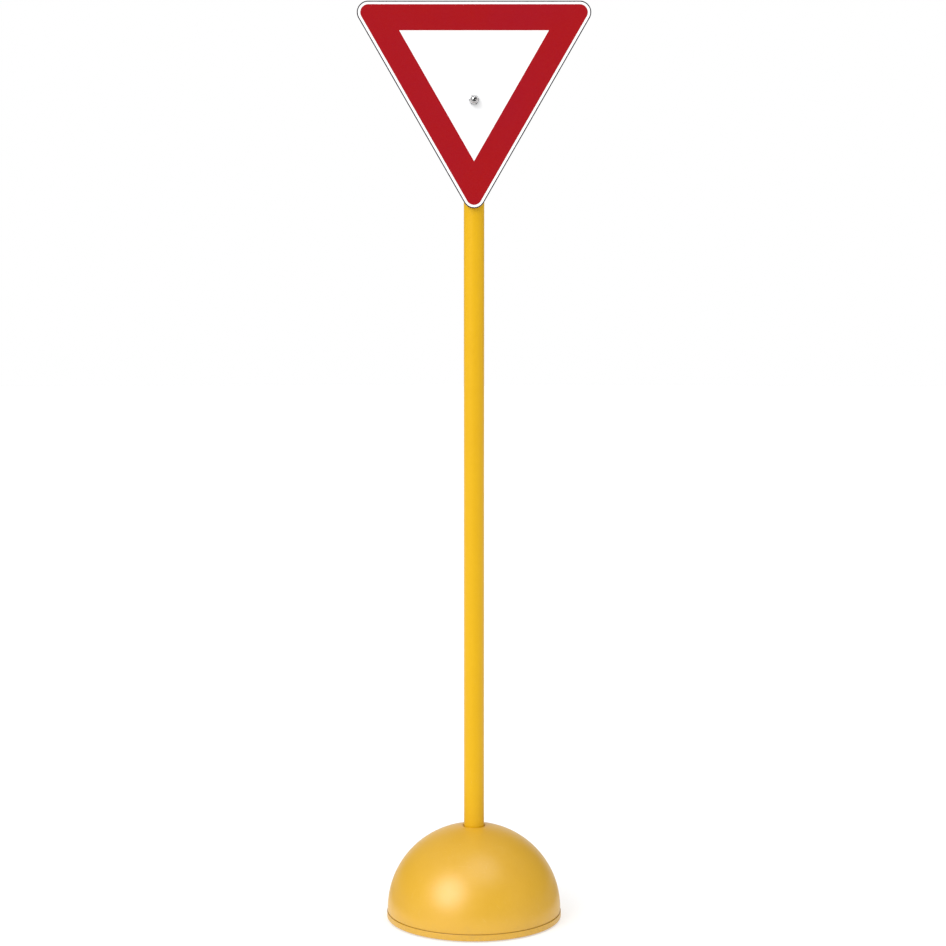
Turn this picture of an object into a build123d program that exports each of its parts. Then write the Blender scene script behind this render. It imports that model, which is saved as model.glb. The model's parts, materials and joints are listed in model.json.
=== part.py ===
from build123d import *
import os
from math import sqrt

# Free-standing give-way sign: a triangular plate, point down, bolted to the top of a
# plain round pole, which stands in the socket of a domed foot filled with concrete.
# The origin is on the pole's axis at floor level, +Z is up and the sign faces -Y.
# All sizes are in millimetres.

# Whole object
total_height = 1350.0           # floor to the sign's top edge

# Sign plate and its films
sign_width = 338.0              # over the rounded top corners
sign_corner_radius = 16.5
plate_thickness = 2.0
plate_edge_break = 0.3
sheeting_thickness = 0.4
film_thickness = 0.2
contour_width = 1.5             # thin dark line that follows the edge
border_margin = 3.5             # white strip between the dark line and the red border
border_width = 37.2

# Bolt through plate and pole
bolt_below_top = 142.0          # from the sign's top edge down to the bolt's axis
bolt_diameter = 8.0
bolt_length = 50.0
bolt_head_diameter = 20.0
bolt_head_height = 4.6
bolt_neck_width = 8.0           # square neck that stops the bolt from turning
bolt_hole_clearance = 0.25      # radial, in every round hole that the bolt passes
neck_clearance = 0.15
thread_clearance = 0.05         # radial, screw threads in their holes
nut_across_flats = 13.0
nut_hex_height = 6.5
nut_dome_diameter = 12.5
nut_height = 15.0
nut_thread_depth = 11.7

# Saddles between the round pole and the flat faces of plate and bolt head
saddle_thickness = 3.0          # at the thinnest point, on the bolt's axis
saddle_reach = 5.0              # how far the saddle wraps past the pole's nearest point
saddle_inset = 2.0              # each side of the saddle stays inside the pole's width
front_saddle_height = 50.0
rear_saddle_height = 26.0
saddle_corner_radius = 2.5
saddle_clearance = 0.1
swivel_clearance = 0.2          # plate to the front saddle, and plate to the nut

# Pole and its end plugs
pole_diameter = 30.0
pole_wall = 1.5
pole_above_bolt = 30.0
plug_depth = 18.0
plug_flange = 2.5
plug_wall = 1.6
plug_clearance = 0.1
plug_fin_count = 3
plug_fin_height = 1.2
plug_fin_depth = 0.8

# Domed shell of the foot
skirt_radius = 129.0
crown_drop = 4.1                # the dome is this much lower than a true half ball
skirt_height = 4.2
dome_wall = 3.5
lip_radius = 3.0                # rounding where the dome turns in around the pole
lip_clearance = 0.5             # radial, pole in the dome's collar
collar_depth = 14.0
seam_edge_round = 0.8

# Pan that closes the foot from below
rim_step = 1.0                  # the pan stands out past the dome by this much
seam_height = 11.5              # floor to the seam between pan and dome
foot_protrusion = 1.5           # the rubber feet stand this far below the pan
pan_floor = 3.5
pan_edge_round = 3.0
rim_skin = 2.5
spigot_wall = 3.0
spigot_height = 8.0
spigot_clearance = 0.3

# Screws, their bosses and the rubber feet
screw_diameter = 4.0
screw_length = 20.0
screw_head_diameter = 8.0
screw_head_height = 2.2
screw_hole_clearance = 0.3
recess_width = 0.9
recess_depth = 1.3
pan_screw_count = 6
boss_setback = 13.5             # from the skirt's inner wall to the screws' axes
boss_radius = 5.5
boss_height = 33.0
web_thickness = 3.0
foot_count = 4
foot_setback = 26.0             # from the circle of screws to the circle of feet
foot_radius = 12.0
foot_height = 6.0
foot_pocket_clearance = 0.3
foot_edge_round = 1.0
foot_boss_height = 6.0
foot_screw_length = 10.0
foot_screw_sink = 0.6

# Socket that holds the pole
socket_clearance = 0.3          # radial, pole in liner
turn_clearance = 0.3            # radial and below, liner in sleeve
seat_clearance = 0.3            # under the pole's foot
liner_wall = 2.2
liner_floor = 4.0
liner_mouth_chamfer = 0.8
sleeve_wall = 2.0
socket_plate_radius = 40.0
socket_plate_thickness = 3.0

# Concrete filling
cast_gap = 0.1                  # around the steel that is cast in
ballast_gap = 0.5               # to the plastic shell
ballast_boss_gap = 1.5

# Values that follow from the ones above
pole_radius = pole_diameter / 2
pole_bore = pole_radius - pole_wall
bolt_radius = bolt_diameter / 2
bolt_hole_radius = bolt_radius + bolt_hole_clearance
bolt_z = total_height - bolt_below_top
sign_side = sign_width + 2 * (sqrt(3) - 1) * sign_corner_radius
saddle_front = -(pole_radius + saddle_thickness)
plate_back = saddle_front - swivel_clearance
plate_front = plate_back - plate_thickness
sheeting_front = plate_front - sheeting_thickness
nut_seat = sheeting_front - swivel_clearance
pan_bottom = foot_protrusion
pan_top = pan_bottom + pan_floor
dome_center = seam_height + skirt_height
dome_rise = skirt_radius - crown_drop   # from the top of the skirt to the dome's crown
pan_radius = skirt_radius + rim_step
inner_skirt = skirt_radius - dome_wall
pan_screw_circle = inner_skirt - boss_setback
foot_circle = pan_screw_circle - foot_setback
collar_bore = pole_radius + lip_clearance
collar_radius = collar_bore + dome_wall
collar_bottom = dome_center + dome_rise - collar_depth
spigot_radius = inner_skirt - spigot_clearance
spigot_bore = spigot_radius - spigot_wall
foot_cup_radius = foot_radius + foot_pocket_clearance + rim_skin
foot_cup_top = foot_height + pan_floor
liner_bore = pole_radius + socket_clearance
liner_radius = liner_bore + liner_wall
sleeve_bore = liner_radius + turn_clearance
sleeve_radius = sleeve_bore + sleeve_wall
socket_plate_top = pan_top + socket_plate_thickness
liner_bottom = socket_plate_top + turn_clearance
pole_foot = liner_bottom + liner_floor + seat_clearance
tube_bottom = pole_foot + plug_flange
tube_top = bolt_z + pole_above_bolt
thread_hole_radius = screw_diameter / 2 + thread_clearance


def facing_front(y):
    """Sketch plane across Y, with X to the right, Z up and its normal towards -Y."""
    return Plane(origin=(0, y, 0), x_dir=(1, 0, 0), z_dir=(0, -1, 0))


def turned(points):
    """Solid turned about the Z axis from (radius, height) corner points."""
    face = make_face(Plane.XZ * Polyline(*points, close=True))
    return revolve(face, Axis.Z, 360)


def tube(outer, inner, bottom, top):
    """Round tube about the Z axis."""
    return turned([(inner, bottom), (outer, bottom), (outer, top), (inner, top)])


def disc(radius, bottom, top):
    """Round disc about the Z axis."""
    height = top - bottom
    return Pos(0, 0, bottom + height / 2) * Cylinder(radius, height)


def cone(bottom_radius, top_radius, bottom, top):
    """Cone about the Z axis."""
    return turned([(0, bottom), (bottom_radius, bottom), (top_radius, top), (0, top)])


def round_edges(solid, radius):
    """Circular edges of one radius, from the lowest to the highest."""
    circles = solid.edges().filter_by(GeomType.CIRCLE)
    return circles.filter_by(lambda edge: abs(edge.radius - radius) < 0.01).sort_by(Axis.Z)


def around(solid, count, radius, start=0.0):
    """Equal copies of a solid on a circle about the Z axis."""
    step = 360 / count
    return [Rot(0, 0, start + i * step) * Pos(radius, 0, 0) * solid for i in range(count)]


# Sign plate and films

def triangle(inset):
    """Point-down triangle, a given distance inside the plate's edge, with its round corners."""
    side = sign_side - 2 * sqrt(3) * inset
    top = total_height - inset
    corners = [(-side / 2, top), (side / 2, top), (0, top - side * sqrt(3) / 2)]
    outline = make_face(Polyline(*corners, close=True))
    radius = sign_corner_radius - inset
    if radius > 0:
        outline = fillet(outline.vertices(), radius)
    return outline


def film(outline, back, thickness):
    """Flat layer with the given outline, standing in front of the plane y = back."""
    return extrude(facing_front(back) * outline, thickness)


def bolt_hole():
    """Round hole for the bolt in a flat outline."""
    return Pos(0, bolt_z) * Circle(bolt_hole_radius)


def sign_plate():
    plate = film(triangle(0) - bolt_hole(), plate_back, plate_thickness)
    back_face = plate.faces().sort_by(Axis.Y)[-1]
    return fillet(back_face.outer_wire().edges(), plate_edge_break)


def reflective_sheeting():
    return film(triangle(0) - bolt_hole(), plate_front, sheeting_thickness)


def contour_line():
    return film(triangle(0) - triangle(contour_width), sheeting_front, film_thickness)


def red_border():
    outer = contour_width + border_margin
    ring = triangle(outer) - triangle(outer + border_width)
    return film(ring, sheeting_front, film_thickness)


# Bolt, nut and saddles

def across_y(y, towards_front):
    """Place a solid made about +Z so that it points along the bolt, from the plane at y."""
    direction = -1 if towards_front else 1
    return Plane(origin=(0, y, bolt_z), x_dir=(1, 0, 0), z_dir=(0, direction, 0))


def sign_bolt():
    head_radius = bolt_head_diameter / 2
    crown = (head_radius ** 2 + bolt_head_height ** 2) / (2 * bolt_head_height)
    cap = Pos(0, 0, bolt_head_height - crown) * Sphere(crown)
    head = cap & disc(head_radius, 0, bolt_head_height)
    neck_length = saddle_thickness - neck_clearance
    neck = Pos(0, 0, -neck_length / 2) * Box(bolt_neck_width, bolt_neck_width, neck_length)
    shank = disc(bolt_radius, -bolt_length, 0)
    tip = shank.faces().sort_by(Axis.Z)[0]
    shank = chamfer(tip.edges(), bolt_radius / 5)
    return across_y(-saddle_front, False) * (head + neck + shank)


def cap_nut():
    corner_radius = nut_across_flats / sqrt(3)
    corner_drop = (corner_radius - nut_across_flats / 2) * 0.6
    blank = extrude(RegularPolygon(nut_across_flats / 2, 6, major_radius=False), nut_hex_height)
    flat_radius = nut_across_flats / 2
    trim = turned([
        (0, 0),
        (flat_radius, 0),
        (corner_radius, corner_drop),
        (corner_radius, nut_hex_height - corner_drop),
        (flat_radius, nut_hex_height),
        (0, nut_hex_height),
    ])
    dome_radius = nut_dome_diameter / 2
    crown_z = nut_height - dome_radius
    crown = disc(dome_radius, nut_hex_height / 2, crown_z) + Pos(0, 0, crown_z) * Sphere(dome_radius)
    thread_radius = bolt_radius + thread_clearance
    nut = (blank & trim) + crown - disc(thread_radius, 0, nut_thread_depth)
    return across_y(nut_seat, True) * nut


def saddle(height):
    """Block with a hollow back that fits the pole, made on the pole's front side."""
    width = pole_diameter - 2 * saddle_inset
    depth = saddle_thickness + saddle_reach
    block = Pos(0, saddle_front + depth / 2, bolt_z) * Box(width, depth, height)
    block = fillet(block.edges().filter_by(Axis.Y), saddle_corner_radius)
    return block - Pos(0, 0, bolt_z) * Cylinder(pole_radius + saddle_clearance, height)


def front_saddle():
    hole = across_y(0, True) * disc(bolt_hole_radius, 0, pole_diameter)
    return saddle(front_saddle_height) - hole


def rear_saddle():
    hole_width = bolt_neck_width + 2 * neck_clearance
    hole = Pos(0, -pole_diameter / 2, bolt_z) * Box(hole_width, pole_diameter, hole_width)
    return Rot(0, 0, 180) * (saddle(rear_saddle_height) - hole)


# Pole

def pole_tube():
    wall = tube(pole_radius, pole_bore, tube_bottom, tube_top)
    hole = Pos(0, 0, bolt_z) * Rot(90, 0, 0) * Cylinder(bolt_hole_radius, 2 * pole_diameter)
    return wall - hole


def end_plug():
    """Push-in plug for a tube end at z = 0, with its flange above and its fins below."""
    fin_radius = pole_bore - plug_clearance
    core_radius = fin_radius - plug_fin_depth
    flange_edge = plug_flange / 2
    plug = disc(core_radius, -plug_depth, 0)
    pitch = plug_depth / (plug_fin_count + 1)
    for i in range(plug_fin_count):
        fin_top = -(i + 1) * pitch
        plug += disc(fin_radius, fin_top - plug_fin_height, fin_top)
    plug -= disc(core_radius - plug_wall, -plug_depth, -plug_flange)
    flange = disc(pole_radius, 0, plug_flange)
    rim = flange.faces().sort_by(Axis.Z)[-1]
    return plug + chamfer(rim.edges(), flange_edge)


def pole_top_plug():
    return Pos(0, 0, tube_top) * end_plug()


def pole_foot_plug():
    return Pos(0, 0, tube_bottom) * Rot(180, 0, 0) * end_plug()


# Foot

def dome_solid(inset, bottom):
    """Solid under the dome's surface, a given distance inside it, down to a flat bottom."""
    radius = skirt_radius - inset
    rise = dome_rise - inset
    arc = EllipticalCenterArc((0, dome_center), radius, rise, arc_size=90)
    sides = Polyline((0, dome_center + rise), (0, bottom), (radius, bottom), (radius, dome_center))
    face = make_face(Plane.XZ * (arc + sides))
    return revolve(face, Axis.Z, 360)


def screw_boss():
    """Boss on the Z axis for one pan screw, with a web towards +X that ties it to the shell."""
    boss = disc(boss_radius, pan_top, pan_top + boss_height)
    web_bottom = seam_height + spigot_height + spigot_clearance
    web_height = pan_top + boss_height - web_bottom
    web_length = skirt_radius - pan_screw_circle
    web = Pos(web_length / 2, 0, web_bottom + web_height / 2)
    return boss + web * Box(web_length, web_thickness, web_height)


def base_dome():
    shell = dome_solid(0, seam_height) - dome_solid(dome_wall, seam_height)
    middle = dome_solid(dome_wall / 2, pan_top)
    shell += disc(collar_radius, collar_bottom, dome_center + dome_rise) & middle
    for boss in around(screw_boss(), pan_screw_count, pan_screw_circle):
        shell += boss & middle
    shell -= disc(collar_bore, collar_bottom, dome_center + dome_rise)
    pilot = disc(thread_hole_radius, pan_top, pan_bottom + screw_length + 1)
    for hole in around(pilot, pan_screw_count, pan_screw_circle):
        shell -= hole
    lip = shell.edges().sort_by(Axis.Z)[-1]
    shell = fillet(lip, lip_radius)
    return fillet(round_edges(shell, skirt_radius)[0], seam_edge_round)


def base_pan():
    pan = disc(pan_radius, pan_bottom, seam_height)
    pan = fillet(round_edges(pan, pan_radius)[0], pan_edge_round)
    pan = fillet(round_edges(pan, pan_radius)[-1], seam_edge_round)
    pan -= disc(spigot_bore, pan_top, seam_height)
    pan += tube(spigot_radius, spigot_bore, seam_height - rim_skin, seam_height + spigot_height)
    groove_top = seam_height - rim_skin
    pan -= tube(pan_radius - rim_skin, spigot_bore + rim_skin, pan_bottom, groove_top)

    cup = disc(foot_cup_radius, pan_bottom, foot_cup_top)
    cup += disc(boss_radius, foot_cup_top, foot_cup_top + foot_boss_height)
    pocket = disc(foot_radius + foot_pocket_clearance, pan_bottom, foot_height)
    pocket += disc(thread_hole_radius, foot_height, foot_screw_top() + 1)
    for cup_here in around(cup, foot_count, foot_circle, 45):
        pan += cup_here
    for pocket_here in around(pocket, foot_count, foot_circle, 45):
        pan -= pocket_here

    head_radius = screw_head_diameter / 2 + screw_hole_clearance
    hole_radius = screw_diameter / 2 + screw_hole_clearance
    hole = cone(head_radius, hole_radius, pan_bottom, pan_bottom + screw_head_height)
    hole += disc(hole_radius, pan_bottom, pan_top)
    for hole_here in around(hole, pan_screw_count, pan_screw_circle):
        pan -= hole_here
    return pan


def cross_recess(bottom):
    """Crossed slots that a screwdriver fits, cut upwards from z = bottom."""
    length = 0.6 * screw_head_diameter
    slot = Pos(0, 0, bottom + recess_depth / 2) * Box(length, recess_width, recess_depth)
    return slot + Rot(0, 0, 90) * slot


def pan_screws():
    radius = screw_diameter / 2
    head = cone(screw_head_diameter / 2, radius, pan_bottom, pan_bottom + screw_head_height)
    screw = head + disc(radius, pan_bottom, pan_bottom + screw_length)
    screw -= cross_recess(pan_bottom)
    return Compound(children=around(screw, pan_screw_count, pan_screw_circle))


def foot_screw_seat():
    """Height of the step inside a rubber foot that its screw's head bears on."""
    return foot_screw_sink + screw_head_height


def foot_screw_top():
    return foot_screw_seat() + foot_screw_length


def rubber_feet():
    foot = disc(foot_radius, 0, foot_height)
    foot = fillet(foot.edges().sort_by(Axis.Z)[0], foot_edge_round)
    foot -= disc(screw_head_diameter / 2 + screw_hole_clearance, 0, foot_screw_seat())
    foot -= disc(screw_diameter / 2 + screw_hole_clearance, 0, foot_height)
    return Compound(children=around(foot, foot_count, foot_circle, 45))


def foot_screws():
    head = disc(screw_head_diameter / 2, foot_screw_sink, foot_screw_seat())
    head = fillet(head.edges().sort_by(Axis.Z)[0], screw_head_height / 3)
    screw = head + disc(screw_diameter / 2, foot_screw_seat(), foot_screw_top())
    screw -= cross_recess(foot_screw_sink)
    return Compound(children=around(screw, foot_count, foot_circle, 45))


def socket_plate():
    return disc(socket_plate_radius, pan_top, socket_plate_top)


def socket_sleeve():
    return tube(sleeve_radius, sleeve_bore, socket_plate_top, collar_bottom)


def socket_liner():
    cup_top = collar_bottom - turn_clearance
    cup_floor = liner_bottom + liner_floor
    cup = disc(liner_radius, liner_bottom, cup_top) - disc(liner_bore, cup_floor, cup_top)
    return chamfer(round_edges(cup, liner_bore)[-1], liner_mouth_chamfer)


def ballast_block():
    block = dome_solid(dome_wall + ballast_gap, pan_top)
    step_radius = pan_screw_circle - boss_radius - ballast_boss_gap
    step_top = pan_top + boss_height + ballast_boss_gap
    block -= tube(pan_radius, step_radius, pan_top, step_top)
    bore = max(sleeve_radius, collar_radius) + cast_gap
    block -= disc(bore, pan_top, dome_center + dome_rise)
    block -= disc(socket_plate_radius + cast_gap, pan_top, socket_plate_top + cast_gap)
    pocket_top = foot_cup_top + foot_boss_height + ballast_gap
    pocket = disc(foot_cup_radius + ballast_gap, pan_top, pocket_top)
    for pocket_here in around(pocket, foot_count, foot_circle, 45):
        block -= pocket_here
    return block


pieces = {
    "sign_plate": sign_plate,
    "reflective_sheeting": reflective_sheeting,
    "contour_line": contour_line,
    "red_border": red_border,
    "sign_bolt": sign_bolt,
    "cap_nut": cap_nut,
    "front_saddle": front_saddle,
    "rear_saddle": rear_saddle,
    "pole_tube": pole_tube,
    "pole_top_plug": pole_top_plug,
    "pole_foot_plug": pole_foot_plug,
    "base_dome": base_dome,
    "base_pan": base_pan,
    "pan_screws": pan_screws,
    "rubber_feet": rubber_feet,
    "foot_screws": foot_screws,
    "socket_plate": socket_plate,
    "socket_sleeve": socket_sleeve,
    "socket_liner": socket_liner,
    "ballast_block": ballast_block,
}

os.makedirs("parts", exist_ok=True)
for name, make in pieces.items():
    solid = make()
    export_step(solid, f"parts/{name}.step")
    print(f"{name}: {len(solid.solids())} solid(s), {solid.volume / 1000:.2f} cm3")
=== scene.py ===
# %% [markdown]
# # A give-way sign on a pole
#
# The object is a portable road sign: a triangular plate held by one cap nut, a plain yellow
# pole, and a yellow domed foot filled with concrete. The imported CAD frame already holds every
# piece at its real size, with the joints that let the pole lift and turn and the plate swivel.
# This script adds what the eye needs: round shapes fine enough for close views, softened
# edges, a finish for every piece, a white floor, soft light and a camera.

# %% Load the frame
import bpy
import bmesh
import json
import numpy as np
from math import atan, cos, pi, radians, sin, sqrt
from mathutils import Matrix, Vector


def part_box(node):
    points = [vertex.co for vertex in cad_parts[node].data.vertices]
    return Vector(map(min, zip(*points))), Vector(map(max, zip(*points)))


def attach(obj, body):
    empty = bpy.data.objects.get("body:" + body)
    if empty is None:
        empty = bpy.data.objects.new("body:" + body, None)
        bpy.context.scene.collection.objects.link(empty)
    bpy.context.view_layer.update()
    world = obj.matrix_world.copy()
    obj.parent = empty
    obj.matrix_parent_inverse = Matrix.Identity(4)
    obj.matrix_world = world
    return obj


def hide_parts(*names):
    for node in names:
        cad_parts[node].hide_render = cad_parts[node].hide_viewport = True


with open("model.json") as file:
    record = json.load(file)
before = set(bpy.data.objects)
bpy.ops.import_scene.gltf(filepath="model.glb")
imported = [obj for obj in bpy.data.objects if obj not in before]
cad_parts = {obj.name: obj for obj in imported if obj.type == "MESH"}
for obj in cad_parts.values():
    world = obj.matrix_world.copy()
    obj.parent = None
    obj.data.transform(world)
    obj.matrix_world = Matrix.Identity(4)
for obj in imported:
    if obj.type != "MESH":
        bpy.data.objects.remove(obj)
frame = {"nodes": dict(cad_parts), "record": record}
nodes = frame["nodes"]
bodies = frame["record"]["behaviour"]["bodies"]
body_of = {node: body for body, members in bodies.items() for node in members}
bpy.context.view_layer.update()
print(len(nodes), "pieces in the frame, on the bodies", sorted(bodies))

# %% [markdown]
# ## Sizes
#
# Where a piece starts and ends is read from the frame, so that it can't drift away from the
# CAD model. Only what a box can't tell, such as a wall or the rounding of an edge, is written
# here, in metres.

# %% Places read from the frame
MM = 0.001


def low(node):
    """Lowest corner of a node's box."""
    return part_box(node)[0]


def high(node):
    """Highest corner of a node's box."""
    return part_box(node)[1]


COLLAR_UP = 121.6 * MM           # the collar's lower edge, above the foot of the dome
SEAM_UP = 10 * MM                # the seam, above the underside of the pan
pole_radius = high("pole_tube").x
tube_bottom, tube_top = low("pole_tube").z, high("pole_tube").z
bolt_z = (low("sign_bolt").z + high("sign_bolt").z) / 2
skirt_radius = high("base_dome").x
collar_bottom = low("base_dome").z + COLLAR_UP
seam_z = low("base_pan").z + SEAM_UP
pan_radius = high("base_pan").x
pan_bottom = low("base_pan").z
print(f"pole {tube_bottom:.4f} to {tube_top:.4f} m, bolt at {bolt_z:.3f} m, skirt {skirt_radius:.3f} m")

# %% [markdown]
# ## Surfaces as grids
#
# A modeller could push vertices about by hand, but nearly every piece here is turned on a
# lathe, moulded or cut from sheet, so its surface is a short profile carried along a path.
# Each surface below is a grid of points worked out as whole arrays: rows follow the profile
# and columns follow the path. The same few helpers turn all the grids into closed meshes.

# %% Grids to meshes
WELD = 1e-6
SLIVER = 1e-7
SHARP_ANGLE = radians(32)


def grid_faces(rows, columns, wrap_rows, wrap_columns):
    """Quads between neighbouring points of a grid. Wrapping joins the last line to the first."""
    row = np.arange(rows if wrap_rows else rows - 1)
    column = np.arange(columns if wrap_columns else columns - 1)
    row, column = np.meshgrid(row, column, indexing="ij")
    next_row, next_column = (row + 1) % rows, (column + 1) % columns
    corners = [(row, column), (next_row, column), (next_row, next_column), (row, next_column)]
    return np.stack([r * columns + c for r, c in corners], -1).reshape(-1, 4)


def link(mesh, name):
    """Put a mesh into the scene as an object that sits at the origin."""
    piece = bpy.data.objects.new(name, mesh)
    bpy.context.scene.collection.objects.link(piece)
    return piece


def tidy_mesh(mesh):
    """Close seams and poles, point the faces outwards and keep only real edges sharp."""
    work = bmesh.new()
    work.from_mesh(mesh)
    bmesh.ops.remove_doubles(work, verts=work.verts, dist=WELD)
    bmesh.ops.dissolve_degenerate(work, edges=work.edges, dist=SLIVER)
    bmesh.ops.recalc_face_normals(work, faces=work.faces)
    work.to_mesh(mesh)
    work.free()
    mesh.shade_smooth()
    mesh.set_sharp_from_angle(angle=SHARP_ANGLE)
    return mesh


def from_grids(name, grids):
    """One object from closed surfaces, each given as (points, wrap_rows, wrap_columns)."""
    points, faces, offset = [], [], 0
    for grid, wrap_rows, wrap_columns in grids:
        rows, columns = grid.shape[:2]
        points.append(grid.reshape(-1, 3))
        faces.append(grid_faces(rows, columns, wrap_rows, wrap_columns) + offset)
        offset += rows * columns
    mesh = bpy.data.meshes.new(name)
    mesh.from_pydata(np.concatenate(points).tolist(), [], np.concatenate(faces).tolist())
    return link(tidy_mesh(mesh), name)


# %% Profiles
def rounded(corners, steps=6):
    """Closed outline through (across, up, radius) corners, each replaced by an arc of its radius.

    The arc's centre lies on the corner's bisector, radius / sin(half angle) away. Its points
    blend the two tangent directions: (sin((1 - t) a) start + sin(t a) end) / sin(a).
    """
    corners = np.asarray(corners, float)
    places, radii = corners[:, :2], corners[:, 2]
    arcs = []
    neighbours = np.roll(places, 1, 0), np.roll(places, -1, 0)
    for here, before, after, radius in zip(places, *neighbours, radii):
        if radius == 0:
            arcs.append(here[None])
            continue
        towards_before = (before - here) / np.linalg.norm(before - here)
        towards_after = (after - here) / np.linalg.norm(after - here)
        half = np.arccos(towards_before @ towards_after) / 2
        bisector = towards_before + towards_after
        centre = here + bisector / np.linalg.norm(bisector) * radius / np.sin(half)
        start = here + towards_before * radius / np.tan(half) - centre
        end = here + towards_after * radius / np.tan(half) - centre
        sweep = pi - 2 * half
        t = np.linspace(0, 1, steps + 1)[:, None]
        blend = (np.sin((1 - t) * sweep) * start + np.sin(t * sweep) * end) / np.sin(sweep)
        arcs.append(centre + blend)
    return np.concatenate(arcs)


def held(outline, hold=0.3 * MM):
    """The outline with extra points just inside both ends of every long straight stretch.

    Smooth shading blends normals between neighbouring points, so these points keep the
    blend inside the rounded edge and leave the stretch between them truly flat.
    """
    ends = np.roll(outline, -1, 0)
    length = np.linalg.norm(ends - outline, axis=1)
    direction = (ends - outline) / np.maximum(length, 1e-9)[:, None]
    is_long = length > 4 * hold
    is_kept = np.stack([np.ones(len(outline), bool), is_long, is_long], 1)
    return np.stack([outline, outline + direction * hold, ends - direction * hold], 1)[is_kept]


def turned(profile, segments=192, closed=True):
    """Grid of a (radius, height) profile carried round the Z axis: x = r cos a, y = r sin a."""
    angle = np.linspace(0, 2 * pi, segments, endpoint=False)
    radius, height = profile[:, :1], profile[:, 1:]
    x, y = radius * np.cos(angle), radius * np.sin(angle)
    return np.stack([x, y, np.broadcast_to(height, x.shape)], -1), closed, True


def ring_profile(inner, outer, bottom, top, bevel):
    """Cross-section of a plain ring or tube, with all four edges rounded."""
    corners = [(inner, bottom), (outer, bottom), (outer, top), (inner, top)]
    return held(rounded([(*corner, bevel) for corner in corners], steps=3))


def rod(radius, bottom, top, segments=48):
    """Grid of a plain round rod, closed by its two poles. It is used as a cutting tool."""
    section = [(0, bottom), (radius, bottom), (radius, top), (0, top)]
    return turned(np.array(section), segments, False)


def lathe(name, section, node, material, segments=128):
    """Turn a section round the Z axis and let the result stand for a CAD node."""
    return stands_for(from_grids(name, [turned(section, segments)]), node, material)


def along_bolt(grid, y, side):
    """A grid made about +Z, laid along the bolt from the plane at y. Side -1 is the front."""
    points, wrap_rows, wrap_columns = grid
    across, up, out = points[..., 0], points[..., 1], points[..., 2]
    return np.stack([across, y + side * out, bolt_z + up], -1), wrap_rows, wrap_columns


def around(grid, count, radius, start=0.0):
    """Copies of a grid on a circle about the Z axis, each turned with its place."""
    points, wrap_rows, wrap_columns = grid
    copies = []
    for angle in radians(start) + np.arange(count) * 2 * pi / count:
        turn = np.array([[cos(angle), sin(angle), 0], [-sin(angle), cos(angle), 0], [0, 0, 1]])
        copies.append(((points + [radius, 0, 0]) @ turn, wrap_rows, wrap_columns))
    return copies


# %% [markdown]
# ## Cutting and softening
#
# Holes that don't share the lathe's axis are cut with Boolean modifiers. Pieces whose CAD
# shape is right but whose edges are knife-sharp are copied, merged into clean faces and given
# a small bevel, because a real moulded or pressed edge always catches a thin line of light.

# %% Booleans and bevels
FLAT_ANGLE = radians(1)
BEVEL_ANGLE = radians(40)


def applied(piece):
    """Replace a piece's mesh by the result of its modifiers."""
    depsgraph = bpy.context.evaluated_depsgraph_get()
    mesh = bpy.data.meshes.new_from_object(piece.evaluated_get(depsgraph))
    piece.modifiers.clear()
    piece.data = mesh
    return piece


def combined(piece, tool, operation):
    """Join a tool to a piece (UNION) or cut it away (DIFFERENCE), and remove the tool."""
    cut = piece.modifiers.new(operation.lower(), "BOOLEAN")
    cut.operation = operation
    cut.object = tool
    cut.solver = "EXACT"
    applied(piece)
    bpy.data.objects.remove(tool)
    tidy_mesh(piece.data)
    return piece


def softened(node, width, segments=3):
    """A copy of a CAD node with clean faces and small round edges of the given width."""
    mesh = nodes[node].data.copy()
    work = bmesh.new()
    work.from_mesh(mesh)
    bmesh.ops.remove_doubles(work, verts=work.verts, dist=WELD)
    bmesh.ops.dissolve_limit(work, angle_limit=FLAT_ANGLE, verts=work.verts, edges=work.edges)
    work.to_mesh(mesh)
    work.free()
    mesh.shade_smooth()
    piece = link(mesh, node + "_soft")
    bevel = piece.modifiers.new("round edges", "BEVEL")
    bevel.width = width
    bevel.segments = segments
    bevel.limit_method = "ANGLE"
    bevel.angle_limit = BEVEL_ANGLE
    even = piece.modifiers.new("even shading", "WEIGHTED_NORMAL")
    even.keep_sharp = True
    return applied(piece)


def stands_for(piece, node, material):
    """A finished piece takes a CAD node's place: its body and its finish."""
    piece.data.materials.clear()
    piece.data.materials.append(material)
    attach(piece, body_of[node])
    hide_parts(node)
    print(f"{piece.name} stands for {node}: {len(piece.data.polygons)} faces")
    return piece


# %% [markdown]
# ## Building materials from nodes
#
# Every finish starts from the Principled BSDF. Its steady numbers are set on the shader's own
# sockets; what changes over the surface comes from small node groups. The groups are built
# once and used by several materials with their own values, which is how a real workshop
# works too: one kind of dust, one kind of scuff, many surfaces.

# %% Helpers for node trees
def add_node(tree, kind, values=None, **settings):
    """Add a shader node, set its options, then give each named input a number or a link."""
    node = tree.nodes.new("ShaderNode" + kind)
    for option, value in settings.items():
        setattr(node, option, value)
    for name, value in (values or {}).items():
        if isinstance(value, bpy.types.NodeSocket):
            tree.links.new(value, node.inputs[name])
        else:
            node.inputs[name].default_value = value
    return node


def calculate(tree, operation, first, second=0.0, third=0.0, clamp=False):
    """Output of a Math node."""
    values = {0: first, 1: second, 2: third}
    return add_node(tree, "Math", values, operation=operation, use_clamp=clamp).outputs[0]


def product(tree, first, second, third, clamp=False):
    """Output of two Math nodes: the product of three values."""
    pair = calculate(tree, "MULTIPLY", first, second)
    return calculate(tree, "MULTIPLY", pair, third, clamp=clamp)


def swing(tree, value, size, middle):
    """A value that varies about a half, turned into one that varies about a middle."""
    return calculate(tree, "MULTIPLY_ADD", calculate(tree, "SUBTRACT", value, 0.5), size, middle)


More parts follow.
